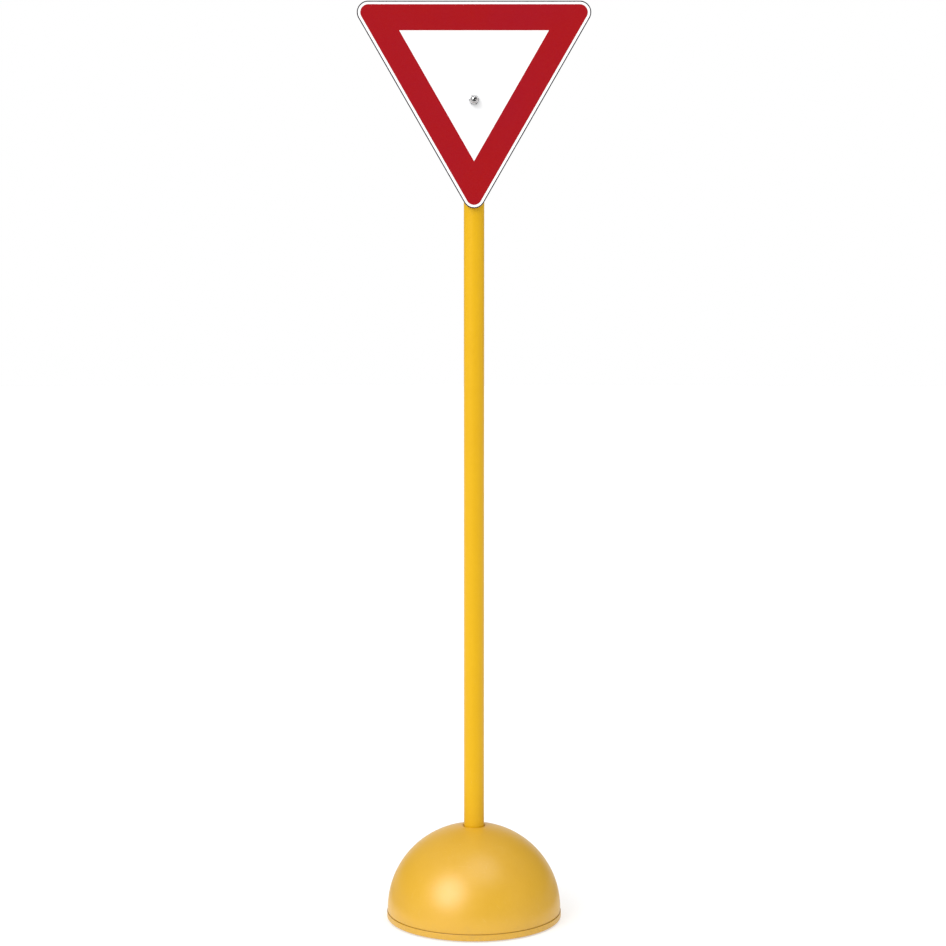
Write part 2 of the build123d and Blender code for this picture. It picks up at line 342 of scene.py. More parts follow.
def raised_by(tree, base, *shares, clamp=True):
    """A base value with each (value, weight) added in turn, held between 0 and 1 at the end."""
    for place, (value, weight) in enumerate(shares, 1):
        is_last = clamp and place == len(shares)
        base = calculate(tree, "MULTIPLY_ADD", value, weight, base, clamp=is_last)
    return base


def upward_part(tree, vector):
    """The Z component of a vector."""
    return add_node(tree, "SeparateXYZ", {"Vector": vector}).outputs["Z"]


def rescaled(tree, value, old_low, old_high, new_low=0.0, new_high=1.0, smooth=True):
    """Output of a Map Range node: old_low..old_high becomes new_low..new_high, and no more."""
    kind = "SMOOTHSTEP" if smooth else "LINEAR"
    names = ("Value", "From Min", "From Max", "To Min", "To Max")
    values = dict(zip(names, (value, old_low, old_high, new_low, new_high)))
    return add_node(tree, "MapRange", values, interpolation_type=kind).outputs["Result"]


def noise(tree, place, scale, detail=3.0, roughness=0.5, distortion=0.0):
    """Output of a Noise Texture at a place."""
    values = {"Vector": place, "Scale": scale, "Detail": detail}
    values.update({"Roughness": roughness, "Distortion": distortion})
    return add_node(tree, "TexNoise", values).outputs["Fac"]


def stretched(tree, place, scale, turn=(0.0, 0.0, 0.0)):
    """A place scaled differently along each axis, to draw a pattern out into streaks."""
    return add_node(tree, "Mapping", {"Vector": place, "Scale": scale, "Rotation": turn}).outputs[0]


def mixed(tree, factor, first, second, blend="MIX"):
    """Output of a colour Mix node."""
    node = add_node(tree, "Mix", data_type="RGBA", blend_type=blend)
    for index, value in ((0, factor), (6, first), (7, second)):
        if isinstance(value, bpy.types.NodeSocket):
            tree.links.new(value, node.inputs[index])
        else:
            node.inputs[index].default_value = value
    return node.outputs[2]


def group(name, inputs, outputs):
    """An empty node group with named inputs {name: (kind, default)} and outputs {name: kind}."""
    tree = bpy.data.node_groups.new(name, "ShaderNodeTree")
    for socket, (kind, default) in inputs.items():
        made = tree.interface.new_socket(socket, in_out="INPUT", socket_type="NodeSocket" + kind)
        if default is not None:
            made.default_value = default
    for socket, kind in outputs.items():
        tree.interface.new_socket(socket, in_out="OUTPUT", socket_type="NodeSocket" + kind)
    return tree, tree.nodes.new("NodeGroupInput").outputs, tree.nodes.new("NodeGroupOutput").inputs


def finish_group(tree, result, outputs):
    """Link a node group's results and say that it is ready."""
    for socket, value in outputs.items():
        tree.links.new(value, result[socket])
    print("group:", tree.name)


def use(tree, name, place, **values):
    """Outputs of a node group at a place. In its inputs' names a space is written as _."""
    node = tree.nodes.new("ShaderNodeGroup")
    node.node_tree = bpy.data.node_groups[name]
    tree.links.new(place, node.inputs["Place"])
    for socket, value in values.items():
        node.inputs[socket.replace("_", " ")].default_value = value
    return node.outputs


# %% [markdown]
# ## Five effects shared by the finishes
#
# - *Tone drift*: no dyed plastic or paint is one even colour. Broad clouds and fine mottling
#   move the tone by a few percent.
# - *Moulded skin*: the very fine, low hills of a moulded or sprayed surface, a fraction of a
#   millimetre across, which break up a highlight.
# - *Scuffs*: hair-thin lines in several directions, gathered in patches.
# - *Settled dust*: a dry, pale film on faces that look up.
# - *Ground grime*: dirt and rubbing in the lowest centimetres, where the foot meets the floor.

# %% Tone drift
tree, given, result = group(
    "Tone drift",
    {"Place": ("Vector", None), "Colour": ("Color", (1, 1, 1, 1)), "Cloud scale": ("Float", 8.0),
     "Strength": ("Float", 0.06)},
    {"Colour": "Color", "Mottle": "Float"},
)
clouds = noise(tree, given["Place"], given["Cloud scale"], detail=4.0, roughness=0.55)
fine_scale = calculate(tree, "MULTIPLY", given["Cloud scale"], 14.0)
mottle = noise(tree, given["Place"], fine_scale, detail=3.0, roughness=0.6)
broad, fine = calculate(tree, "MULTIPLY", clouds, 0.7), calculate(tree, "MULTIPLY", mottle, 0.3)
spread = calculate(tree, "ADD", broad, fine)
shift = calculate(tree, "MULTIPLY", calculate(tree, "SUBTRACT", spread, 0.5), given["Strength"])
brightness = calculate(tree, "MULTIPLY_ADD", shift, 2.0, 1.0)
hue = calculate(tree, "MULTIPLY_ADD", shift, 0.12, 0.5)
toned = add_node(tree, "HueSaturation", {"Hue": hue, "Value": brightness, "Color": given["Colour"]})
finish_group(tree, result, {"Colour": toned.outputs["Color"], "Mottle": mottle})

# %% Moulded skin
tree, given, result = group(
    "Moulded skin",
    {"Place": ("Vector", None), "Grain size": ("Float", 0.8 * MM), "Wave size": ("Float", 12 * MM),
     "Wave share": ("Float", 0.5)},
    {"Height": "Float"},
)
grain_scale = calculate(tree, "DIVIDE", 1.0, given["Grain size"])
wave_scale = calculate(tree, "DIVIDE", 1.0, given["Wave size"])
grain = noise(tree, given["Place"], grain_scale, detail=2.0)
waves = noise(tree, given["Place"], wave_scale, detail=1.0)
height = calculate(tree, "MULTIPLY_ADD", waves, given["Wave share"], grain)
finish_group(tree, result, {"Height": height})

# %% Scuffs
tree, given, result = group(
    "Scuffs",
    {"Place": ("Vector", None), "Line scale": ("Float", 60.0), "Amount": ("Float", 0.5)},
    {"Mask": "Float"},
)
TURNS = ((0.3, 0.2, 0.5), (0.9, -0.4, 2.2), (-0.5, 0.8, 1.3))
STRETCHES = ((1, 28, 1), (24, 1, 1.2), (1, 1.4, 30))
lines = None
for turn, stretch in zip(TURNS, STRETCHES):
    spot = stretched(tree, given["Place"], stretch, turn)
    streak = noise(tree, spot, given["Line scale"], detail=2.0, roughness=0.7)
    line = rescaled(tree, streak, 0.66, 0.74)
    lines = line if lines is None else calculate(tree, "MAXIMUM", lines, line)
patches = rescaled(tree, noise(tree, given["Place"], 17.0, detail=3.0), 0.42, 0.68)
finish_group(tree, result, {"Mask": product(tree, lines, patches, given["Amount"], clamp=True)})

# %% Settled dust
tree, given, result = group(
    "Settled dust",
    {"Place": ("Vector", None), "Amount": ("Float", 0.3)},
    {"Mask": "Float"},
)
facing = upward_part(tree, add_node(tree, "NewGeometry").outputs["Normal"])
upward = rescaled(tree, facing, 0.35, 1.0)
drifts = noise(tree, given["Place"], 22.0, detail=6.0, roughness=0.65)
cloudy = rescaled(tree, drifts, 0.35, 0.75, 0.35, 1.0)
specks = rescaled(tree, noise(tree, given["Place"], 900.0, detail=1.0), 0.62, 0.72, 0.0, 0.8)
layers = calculate(tree, "ADD", cloudy, specks)
finish_group(tree, result, {"Mask": product(tree, upward, layers, given["Amount"], clamp=True)})

# %% Ground grime
tree, given, result = group(
    "Ground grime",
    {"Place": ("Vector", None), "Reach": ("Float", 30 * MM), "Amount": ("Float", 0.4)},
    {"Mask": "Float"},
)
level = calculate(tree, "DIVIDE", upward_part(tree, given["Place"]), given["Reach"])
ragged = noise(tree, given["Place"], 45.0, detail=5.0, roughness=0.65)
edge = swing(tree, ragged, 1.4, level)
lowness = rescaled(tree, edge, 0.0, 1.0, 1.0, 0.0)
crumbs = noise(tree, given["Place"], 260.0, detail=4.0, roughness=0.7)
broken = rescaled(tree, crumbs, 0.4, 0.62, 0.25, 1.0)
finish_group(tree, result, {"Mask": product(tree, lowness, broken, given["Amount"], clamp=True)})


# %% [markdown]
# ## The finishes
#
# Two yellows sit side by side on the real thing and are not the same. The foot is moulded
# plastic with the colour all the way through, a little paler and softer in its shine. The
# pole is steel with sprayed and baked powder, deeper in colour and with a tighter highlight.

# %% A finish with its shader
def start_finish(name, **constants):
    """A new material, its node tree, and the place in the object's own coordinates.

    Constants are written on the shader's own sockets, because the export reads them there.
    """
    material = bpy.data.materials.new(name)
    material.use_nodes = True
    tree = material.node_tree
    for socket, value in constants.items():
        tree.nodes["Principled BSDF"].inputs[socket.replace("_", " ")].default_value = value
    return material, tree, tree.nodes.new("ShaderNodeTexCoord").outputs["Object"]


def end_finish(material, changing, height, depth):
    """Link what changes over the surface to the shader, with a height as relief in metres."""
    tree = material.node_tree
    bump = add_node(tree, "Bump", {"Height": height, "Distance": depth, "Strength": 1.0})
    changing["Normal"] = bump.outputs["Normal"]
    for socket, value in changing.items():
        tree.links.new(value, tree.nodes["Principled BSDF"].inputs[socket])
    return material


# %% Yellow moulded plastic and yellow powder coat
GRIME_REACH = 26 * MM
SEAM_SHADE_REACH = 1.0 * MM           # painted shade in the seam, this far above and below it
PALE_SCUFF = (0.93, 0.72, 0.32, 1)
DRY_DUST = (0.62, 0.56, 0.45, 1)
GROUND_DIRT = (0.30, 0.20, 0.08, 1)
# Colour of the painted shade in the seam between dome and pan.
SEAM_SHADE = (0.25, 0.11, 0.008, 1)


def yellow_finish(name, colour, gloss, grain, scuffs, dust, grime, relief, **constants):
    """Yellow surface: toned colour, pale scuffs, settled dust, grime near the floor and painted shade in
    the seam.
    """
    material, tree, place = start_finish(name, **constants)
    tone = use(tree, "Tone drift", place, Colour=colour, Cloud_scale=9.0, Strength=0.06)
    scuff = use(tree, "Scuffs", place, Line_scale=55.0, Amount=scuffs)["Mask"]
    settled = use(tree, "Settled dust", place, Amount=dust)["Mask"]
    dirt = use(tree, "Ground grime", place, Reach=GRIME_REACH, Amount=grime)["Mask"]
    pale = mixed(tree, calculate(tree, "MULTIPLY", scuff, 0.35), tone["Colour"], PALE_SCUFF)
    dirty = mixed(tree, dirt, mixed(tree, settled, pale, DRY_DUST), GROUND_DIRT)
    # Painted shade in the seam: a dark band either side of it, darkest at the seam itself.
    over_seam = calculate(tree, "SUBTRACT", upward_part(tree, place), seam_z)
    from_seam = calculate(tree, "ABSOLUTE", over_seam)
    seam_shade_mask = rescaled(tree, from_seam, 0.2 * MM, SEAM_SHADE_REACH, 0.5, 0.0)
    uneven = swing(tree, tone["Mottle"], 0.12, gloss)
    rough = raised_by(tree, uneven, (scuff, 0.18), (settled, 0.5), (dirt, 0.3))
    skin = use(tree, "Moulded skin", place, Grain_size=grain, Wave_size=22 * grain, Wave_share=1.0)
    carved = calculate(tree, "SUBTRACT", skin["Height"], calculate(tree, "MULTIPLY", scuff, 0.8))
    # The seam's painted shade is laid over the dirt and dust.
    dirt_and_seam_shade = mixed(tree, seam_shade_mask, dirty, SEAM_SHADE)
    return end_finish(material, {"Base Color": dirt_and_seam_shade, "Roughness": rough}, carved, relief)


foot_yellow = yellow_finish(
    "foot_yellow", (0.695, 0.382, 0.012, 1), gloss=0.37, grain=0.7 * MM,
    scuffs=0.6, dust=0.05, grime=0.22, relief=0.018 * MM, IOR=1.7,
)
pole_yellow = yellow_finish(
    "pole_yellow", (0.73, 0.412, 0.0035, 1), gloss=0.34, grain=1.1 * MM,
    scuffs=0.30, dust=0.04, grime=0.0, relief=0.02 * MM, IOR=1.5, Specular_IOR_Level=0.25,
)
print("finishes:", foot_yellow.name, pole_yellow.name)

# %% [markdown]
# The sign's face is glass-beaded film. Its beads sit in a clear layer, packed closely, so from
# near by it is a very fine even grain, and from further off a soft white. The red is a
# translucent film laid over the white one, and the thin line round the edge is printed ink.

# %% Films on the sign's face
BEAD = 0.6 * MM
BEAD_RELIEF = 0.012 * MM


def film_finish(name, colour, drift, fade, coat, gloss=0.36):
    """Beaded film: a packed grain of beads with painted glints on their tops, faint handling marks and a
    clear top layer.
    """
    material, tree, place = start_finish(name, Coat_Roughness=0.1, IOR=1.45, Specular_IOR_Level=0.07)
    tone = use(tree, "Tone drift", place, Colour=colour, Cloud_scale=11.0, Strength=drift)
    scuff = use(tree, "Scuffs", place, Line_scale=45.0, Amount=0.4)["Mask"]
    beads = add_node(tree, "TexVoronoi", {"Vector": place, "Scale": 1 / BEAD}, feature="SMOOTH_F1")
    bead_height = rescaled(tree, beads.outputs["Distance"], 0.1, 0.6, 1.0, 0.0)
    # Painted glint: the tops of the beads are lightened a little towards white.
    painted_bead_glint = calculate(tree, "MULTIPLY", bead_height, 0.008)
    glinted_tone = mixed(tree, painted_bead_glint, tone["Colour"], (1, 1, 1, 1))
    changing = {
        "Base Color": mixed(tree, calculate(tree, "MULTIPLY", scuff, 0.25), glinted_tone, fade),
        "Roughness": raised_by(tree, gloss - 0.05, (tone["Mottle"], 0.1), (scuff, 0.2), clamp=False),
        "Coat Weight": rescaled(tree, tone["Mottle"], 0.2, 0.8, coat, coat * 0.6),
    }
    return end_finish(material, changing, bead_height, BEAD_RELIEF)


white_sheeting = film_finish(
    "white_sheeting", (0.95, 0.95, 0.955, 1), drift=0.010, fade=(0.84, 0.84, 0.82, 1), coat=0.15,
)
border_red = film_finish(
    "border_red", (0.345, 0.0045, 0.009, 1), drift=0.07, fade=(0.40, 0.02, 0.025, 1), coat=0.05,
    gloss=0.30,
)
contour_black = film_finish(
    "contour_black", (0.016, 0.012, 0.015, 1), drift=0.15, fade=(0.05, 0.045, 0.05, 1), coat=0.05,
)
print("finishes:", white_sheeting.name, border_red.name, contour_black.name)

# %% [markdown]
# Sheet aluminium leaves the mill with fine lines along the rolling direction and a slightly
# cloudy sheen. The pattern is drawn out about 60 times longer than wide, so it reads as
# rolling lines from close by and as a soft sheen from across the road.

# %% Bare metals
LINE_GREY = (0.45, 0.45, 0.46, 1)


def metal_finish(name, colour, gloss, streak, streak_strength, tarnish, stain, relief):
    """Bare metal: rolling or turning lines, cloudy tarnish and fine scratches."""
    material, tree, place = start_finish(name)
    tone = use(tree, "Tone drift", place, Colour=colour, Cloud_scale=14.0, Strength=0.10)
    lines = noise(tree, stretched(tree, place, streak), 1.0, detail=4.0, roughness=0.7)
    scuff = use(tree, "Scuffs", place, Line_scale=70.0, Amount=0.8)["Mask"]
    cloud = rescaled(tree, noise(tree, place, 30.0, detail=5.0, roughness=0.65), 0.45, 0.72)
    clouded = calculate(tree, "MULTIPLY", cloud, tarnish)
    dull = mixed(tree, clouded, tone["Colour"], stain)
    line_shift = swing(tree, lines, streak_strength, 0.0)
    rough = calculate(tree, "ADD", calculate(tree, "MULTIPLY_ADD", clouded, 0.35, gloss), line_shift)
    changing = {
        "Base Color": mixed(tree, calculate(tree, "ABSOLUTE", line_shift), dull, LINE_GREY),
        "Roughness": calculate(tree, "MULTIPLY_ADD", scuff, 0.15, rough, clamp=True),
        "Metallic": rescaled(tree, clouded, 0.0, 1.0, 1.0, 0.75, smooth=False),
    }
    carved = calculate(tree, "SUBTRACT", lines, calculate(tree, "MULTIPLY", scuff, 0.7))
    return end_finish(material, changing, carved, relief)


plate_aluminium = metal_finish(
    "plate_aluminium", (0.66, 0.67, 0.68, 1), gloss=0.34, streak=(500, 500, 8), streak_strength=0.30,
    tarnish=0.18, stain=(0.55, 0.55, 0.55, 1), relief=0.004 * MM,
)
nut_steel = metal_finish(
    "nut_steel", (0.56, 0.56, 0.56, 1), gloss=0.05, streak=(900, 300, 900), streak_strength=0.03,
    tarnish=0.10, stain=(0.62, 0.61, 0.60, 1), relief=0.001 * MM,
)
zinc_steel = metal_finish(
    "zinc_steel", (0.74, 0.75, 0.77, 1), gloss=0.24, streak=(700, 700, 700), streak_strength=0.10,
    tarnish=0.35, stain=(0.56, 0.55, 0.52, 1), relief=0.003 * MM,
)
socket_steel = metal_finish(
    "socket_steel", (0.62, 0.64, 0.66, 1), gloss=0.42, streak=(160, 160, 90), streak_strength=0.18,
    tarnish=0.6, stain=(0.48, 0.49, 0.50, 1), relief=0.006 * MM,
)
print("finishes:", plate_aluminium.name, nut_steel.name, zinc_steel.name, socket_steel.name)

# %% [markdown]
# The small plastic and rubber pieces share one recipe: a dyed base, a moulded skin, scuffs
# that show lighter on black, and some dust. Grain size and shine set nylon, polyethylene and
# rubber apart.

# %% Small plastics, rubber and concrete
SHADE_DUST = (0.42, 0.40, 0.36, 1)


def moulded_finish(name, colour, gloss, grain, relief, rubbed, dust=0.25):
    """Dyed plastic or rubber with a moulded skin, scuffed lighter and lightly dusted."""
    material, tree, place = start_finish(name, IOR=1.5)
    tone = use(tree, "Tone drift", place, Colour=(*colour, 1), Cloud_scale=25.0, Strength=0.2)
    scuff = use(tree, "Scuffs", place, Line_scale=90.0, Amount=0.9)["Mask"]
    settled = use(tree, "Settled dust", place, Amount=dust)["Mask"]
    worn = mixed(tree, calculate(tree, "MULTIPLY", scuff, 0.5), tone["Colour"], (*rubbed, 1))
    rough = raised_by(tree, gloss - 0.1, (tone["Mottle"], 0.2), (scuff, 0.15), (settled, 0.4))
    skin = use(tree, "Moulded skin", place, Grain_size=grain, Wave_size=10 * grain, Wave_share=0.4)
    changing = {"Base Color": mixed(tree, settled, worn, SHADE_DUST), "Roughness": rough}
    return end_finish(material, changing, skin["Height"], relief)


saddle_black = moulded_finish(
    "saddle_black", (0.022, 0.022, 0.023), gloss=0.48, grain=0.5 * MM, relief=0.03 * MM,
    rubbed=(0.12, 0.12, 0.12),
)
plug_black = moulded_finish(
    "plug_black", (0.028, 0.028, 0.030), gloss=0.42, grain=0.6 * MM, relief=0.02 * MM,
    rubbed=(0.13, 0.13, 0.13),
)
foot_rubber = moulded_finish(
    "foot_rubber", (0.020, 0.020, 0.020), gloss=0.75, grain=0.35 * MM, relief=0.05 * MM,
    rubbed=(0.10, 0.095, 0.09),
)
liner_white = moulded_finish(
    "liner_white", (0.78, 0.76, 0.70), gloss=0.45, grain=0.6 * MM, relief=0.02 * MM,
    rubbed=(0.70, 0.68, 0.62), dust=0.0,
)


def cast_finish(name, paste, sand, pit_shade):
    """Cast concrete: grey paste with sand grains, pale stones and small air pits with painted shade in
    them.
    """
    material, tree, place = start_finish(name, Roughness=0.9)
    tone = use(tree, "Tone drift", place, Colour=paste, Cloud_scale=18.0, Strength=0.25)
    grains = add_node(tree, "TexVoronoi", {"Vector": place, "Scale": 260.0}, feature="F1")
    grain_mask = rescaled(tree, grains.outputs["Distance"], 0.15, 0.35, 0.6, 0.0)
    holes = add_node(tree, "TexVoronoi", {"Vector": place, "Scale": 95.0}, feature="F1")
    hole_mask = rescaled(tree, holes.outputs["Distance"], 0.06, 0.14, 1.0, 0.0)
    sandy = mixed(tree, grain_mask, tone["Colour"], sand)
    changing = {
        # The air pits are painted dark: painted shade in the hollows.
        "Base Color": mixed(tree, hole_mask, sandy, pit_shade),
        "Roughness": rescaled(tree, tone["Mottle"], 0.2, 0.8, 0.82, 0.98),
    }
    pitted = calculate(tree, "SUBTRACT", tone["Mottle"], hole_mask)
    raised = calculate(tree, "MULTIPLY_ADD", grain_mask, 0.3, pitted)
    return end_finish(material, changing, raised, 0.4 * MM)


concrete = cast_finish(
    "concrete", (0.42, 0.41, 0.39, 1), sand=(0.60, 0.57, 0.52, 1), pit_shade=(0.20, 0.19, 0.18, 1),
)
print("finishes:", saddle_black.name, plug_black.name, foot_rubber.name, liner_white.name)
print("finish:", concrete.name)

# %% [markdown]
# ## The domed foot
#
# The real shell is moulded plastic: half an ellipse turned about the pole's axis, with a
# rounded lip where it dips in to a collar around the pole. A sphere with a hole would be
# quick, but its edge at the pole would be sharp and its wall would have no thickness. The
# profile below is the true one: outside, lip, collar, inside and the rounded seam edge.

# %% Dome
SKIRT_HEIGHT = 4.2 * MM
DOME_WALL = 3.5 * MM
LIP_RADIUS = 3 * MM
POLE_GAP = 0.5 * MM
SEAM_ROUND = 0.8 * MM
COLLAR_DEPTH = 14 * MM
DOME_SEGMENTS = 240
dome_centre = seam_z + SKIRT_HEIGHT
dome_rise = collar_bottom + COLLAR_DEPTH - dome_centre
collar_bore = pole_radius + POLE_GAP
collar_radius = collar_bore + DOME_WALL


def circle(angle):
    """Points of the unit circle at an array of angles."""
    return np.stack([np.cos(angle), np.sin(angle)], -1)


def ellipse_arc(inset, first_radius, steps=112):
    """Points of the dome's quarter ellipse, inset by a wall, from a radius out to the skirt.

    radius = (a - inset) sin t and height = centre + (b - inset) cos t, with even steps of t.
    """
    across, rise = skirt_radius - inset, dome_rise - inset
    t = np.linspace(np.arcsin(first_radius / across), pi / 2, steps)
    return np.stack([across * np.sin(t), dome_centre + rise * np.cos(t)], 1)


def lip_arc(steps=14):
    """Arc that rounds the dome into the collar: from the bore, over the top, to the ellipse.

    Its centre is a lip radius outside the bore, and a lip radius below the ellipse along the
    ellipse's own normal. The angle of that normal is atan(slope) at the centre's radius.
    """
    centre_radius = collar_bore + LIP_RADIUS
    flat = sqrt(1 - (centre_radius / skirt_radius) ** 2)
    slope = dome_rise * centre_radius / (skirt_radius ** 2 * flat)
    tilt = atan(slope)
    centre_height = dome_centre + dome_rise * flat - LIP_RADIUS / cos(tilt)
    angle = np.linspace(pi, pi / 2 - tilt, steps)
    return [centre_radius, centre_height] + circle(angle) * LIP_RADIUS


def dome_profile():
    """Closed section of the shell, from the lip down the outside and back up the inside."""
    lip = lip_arc()
    outside = ellipse_arc(0, lip[-1, 0] + 0.2 * MM)
    seam = circle(np.linspace(0, -pi / 2, 7)) * SEAM_ROUND
    seam += [skirt_radius - SEAM_ROUND, seam_z + SEAM_ROUND]
    inner_skirt = (skirt_radius - DOME_WALL, seam_z)
    inside = ellipse_arc(DOME_WALL, collar_radius, 64)[::-1]
    above = collar_bottom + 0.3 * MM
    collar = [(collar_radius, collar_bottom), (collar_bore, collar_bottom), (collar_bore, above)]
    return np.concatenate([lip, outside, seam, [inner_skirt], inside, collar])


# %% Screw bosses inside the dome
SCREWS = 6
SCREW_HEAD_RADIUS = 4 * MM
BOSS_RADIUS, BOSS_TOP = 5.5 * MM, 38 * MM
PILOT_RADIUS, PILOT_TOP = 2.05 * MM, 22.5 * MM
WEB_HALF, WEB_GAP, WEB_SKIN = 1.5 * MM, 0.3 * MM, 2.8 * MM
PAN_FLOOR = 3.5 * MM
OVERCUT = 1 * MM                 # how far a cutting tool reaches out of the piece
pan_top = pan_bottom + PAN_FLOOR
screw_circle = high("pan_screws").x - SCREW_HEAD_RADIUS
web_bottom = high("base_pan").z + WEB_GAP
web_end = skirt_radius - WEB_SKIN


def block_grid(lowest, highest):
    """Closed box between two corners, as a four-sided loop with a pole at each end."""
    (x0, y0, z0), (x1, y1, z1) = lowest, highest
    loop = np.array([(x0, y0), (x1, y0), (x1, y1), (x0, y1)])
    middle = np.repeat(loop.mean(0)[None], len(loop), 0)
    rows = [(middle, z0), (loop, z0), (loop, z1), (middle, z1)]
    points = np.stack([np.column_stack([xy, np.full(len(loop), z)]) for xy, z in rows])
    return points, False, True


boss = rod(BOSS_RADIUS, pan_top, BOSS_TOP)
web = block_grid((0, -WEB_HALF, web_bottom), (web_end - screw_circle, WEB_HALF, BOSS_TOP))
pilot = rod(PILOT_RADIUS, pan_top - OVERCUT, PILOT_TOP, 24)
dome = from_grids("dome_shell", [turned(dome_profile(), DOME_SEGMENTS)])
combined(dome, from_grids("webs", around(web, SCREWS, screw_circle)), "UNION")
combined(dome, from_grids("bosses", around(boss, SCREWS, screw_circle)), "UNION")
combined(dome, from_grids("pilots", around(pilot, SCREWS, screw_circle)), "DIFFERENCE")
stands_for(dome, "base_dome", foot_yellow)

# %% [markdown]
# The pan closes the foot from below. Seen from the side it is only the narrow rim under the
# seam, a millimetre wider than the dome. Underneath it has a groove, four cups for the rubber
# feet and six countersunk screws.

# %% Pan
FEET, FIRST_FOOT = 4, 45
RIM_SKIN = 2.5 * MM
PAN_ROUND = 3 * MM
SPIGOT_GAP, SPIGOT_WALL = 0.3 * MM, 3 * MM
HEAD_HOLE, SHANK_HOLE = 4.3 * MM, 2.3 * MM
COUNTERSINK = 2.2 * MM
FOOT_RADIUS = 12 * MM
POCKET_RADIUS, POCKET_TOP = 12.3 * MM, 6 * MM
POCKET_PILOT_TOP = 13.8 * MM
CUP_RADIUS, CUP_TOP, CUP_BOSS_TOP = 14.8 * MM, 9.5 * MM, 15.5 * MM
JOIN = 0.5 * MM                  # overlap that lets two solids join cleanly
spigot_outer = skirt_radius - DOME_WALL - SPIGOT_GAP
spigot_inner = spigot_outer - SPIGOT_WALL
spigot_top = high("base_pan").z
foot_circle = (high("rubber_feet").x - FOOT_RADIUS) * sqrt(2)
groove_inner, groove_outer = spigot_inner + RIM_SKIN, pan_radius - RIM_SKIN
groove_top = seam_z - RIM_SKIN


def pan_profile():
    """Section of the pan from its centre: underside, groove, rounded rim, spigot, floor."""
    lift = PAN_ROUND - sqrt(PAN_ROUND ** 2 - (PAN_ROUND - RIM_SKIN) ** 2)
    first = np.arcsin((PAN_ROUND - RIM_SKIN) / PAN_ROUND)
    low_edge = circle(np.linspace(-pi / 2 + first, 0, 9)) * PAN_ROUND
    low_edge += [pan_radius - PAN_ROUND, pan_bottom + PAN_ROUND]
    high_edge = circle(np.linspace(0, pi / 2, 7)) * SEAM_ROUND
    high_edge += [pan_radius - SEAM_ROUND, seam_z - SEAM_ROUND]
    marker = pan_radius - 1 * MM     # stands where the two rounded edges go in
    spigot = rounded([
        (spigot_outer, spigot_top, 0.5 * MM), (spigot_inner, spigot_top, 0.5 * MM),
        (spigot_inner, pan_top, 1 * MM), (0, pan_top, 0), (0, pan_bottom, 0),
        (groove_inner, pan_bottom, 0.4 * MM), (groove_inner, groove_top, 0.4 * MM),
        (groove_outer, groove_top, 0.4 * MM), (groove_outer, pan_bottom + lift, 0.1 * MM),
        (marker, pan_bottom + lift, 0), (spigot_outer, seam_z, 0.3 * MM),
    ], steps=4)
    ends = np.where(np.isclose(spigot[:, 0], marker))[0][0]
    return np.concatenate([spigot[:ends], low_edge, high_edge, spigot[ends + 1:]])


def countersunk(head_radius, shank_radius, bottom, head_top, top):
    """Grid of a countersunk hole or screw body: a cone below and a straight shank above."""
    head = [(0, bottom), (head_radius, bottom), (shank_radius, head_top)]
    return turned(np.array(head + [(shank_radius, top), (0, top)]), 48, False)


def at_feet(grid):
    """Copies of a grid at the rubber feet."""
    return around(grid, FEET, foot_circle, FIRST_FOOT)


pan = from_grids("pan", [turned(pan_profile(), DOME_SEGMENTS)])
cup = rod(CUP_RADIUS, pan_bottom + 0.4 * MM, CUP_TOP, 64)
cup_boss = rod(BOSS_RADIUS, CUP_TOP - JOIN, CUP_BOSS_TOP)
pocket = rod(POCKET_RADIUS, pan_bottom - OVERCUT, POCKET_TOP, 96)
pocket_pilot = rod(PILOT_RADIUS, POCKET_TOP - OVERCUT, POCKET_PILOT_TOP, 24)
screw_hole = countersunk(HEAD_HOLE, SHANK_HOLE, pan_bottom, pan_bottom + COUNTERSINK, pan_top + OVERCUT)
mouth = rod(HEAD_HOLE, pan_bottom - OVERCUT, pan_bottom + 0.01 * MM)
combined(pan, from_grids("cups", at_feet(cup)), "UNION")
combined(pan, from_grids("cup bosses", at_feet(cup_boss)), "UNION")
cutters = at_feet(pocket) + around(screw_hole, SCREWS, screw_circle)
combined(pan, from_grids("pockets", cutters), "DIFFERENCE")
more_cutters = at_feet(pocket_pilot) + around(mouth, SCREWS, screw_circle)
combined(pan, from_grids("pilots", more_cutters), "DIFFERENCE")
stands_for(pan, "base_pan", foot_yellow)

# %% Rubber feet and the screws
FOOT_STEP = 2.8 * MM
SCREW_EDGE = 0.12 * MM
foot_height = high("rubber_feet").z
foot_section = held(rounded([
    (HEAD_HOLE, 0, 0.4 * MM), (FOOT_RADIUS, 0, 1.0 * MM), (FOOT_RADIUS, foot_height, 0.3 * MM),
    (SHANK_HOLE, foot_height, 0.1 * MM), (SHANK_HOLE, FOOT_STEP, 0.1 * MM),
    (HEAD_HOLE, FOOT_STEP, 0.1 * MM),
], steps=5), 0.2 * MM)
feet = from_grids("feet", at_feet(turned(foot_section, 96)))
stands_for(feet, "rubber_feet", foot_rubber)
for screws in ("pan_screws", "foot_screws"):
    stands_for(softened(screws, SCREW_EDGE), screws, zinc_steel)

# %% [markdown]
# ## What is inside the foot
#
# A steel plate and sleeve are cast into the concrete, and a plastic liner turns and slides in
# the sleeve. They only show when the foot is taken apart, yet they are finished like the
# pieces outside.

# %% Socket, liner and concrete
SLEEVE_BORE, SLEEVE_OUTER = 17.8 * MM, 19.8 * MM
SOCKET_PLATE_RADIUS = 40 * MM
LINER_BORE, LINER_OUTER, LINER_FLOOR = 15.3 * MM, 17.5 * MM, 4 * MM
LINER_CHAMFER = 0.8 * MM
sleeve_low, sleeve_high = low("socket_sleeve").z, high("socket_sleeve").z
sleeve_section = ring_profile(SLEEVE_BORE, SLEEVE_OUTER, sleeve_low, sleeve_high, 0.3 * MM)
lathe("sleeve", sleeve_section, "socket_sleeve", socket_steel)

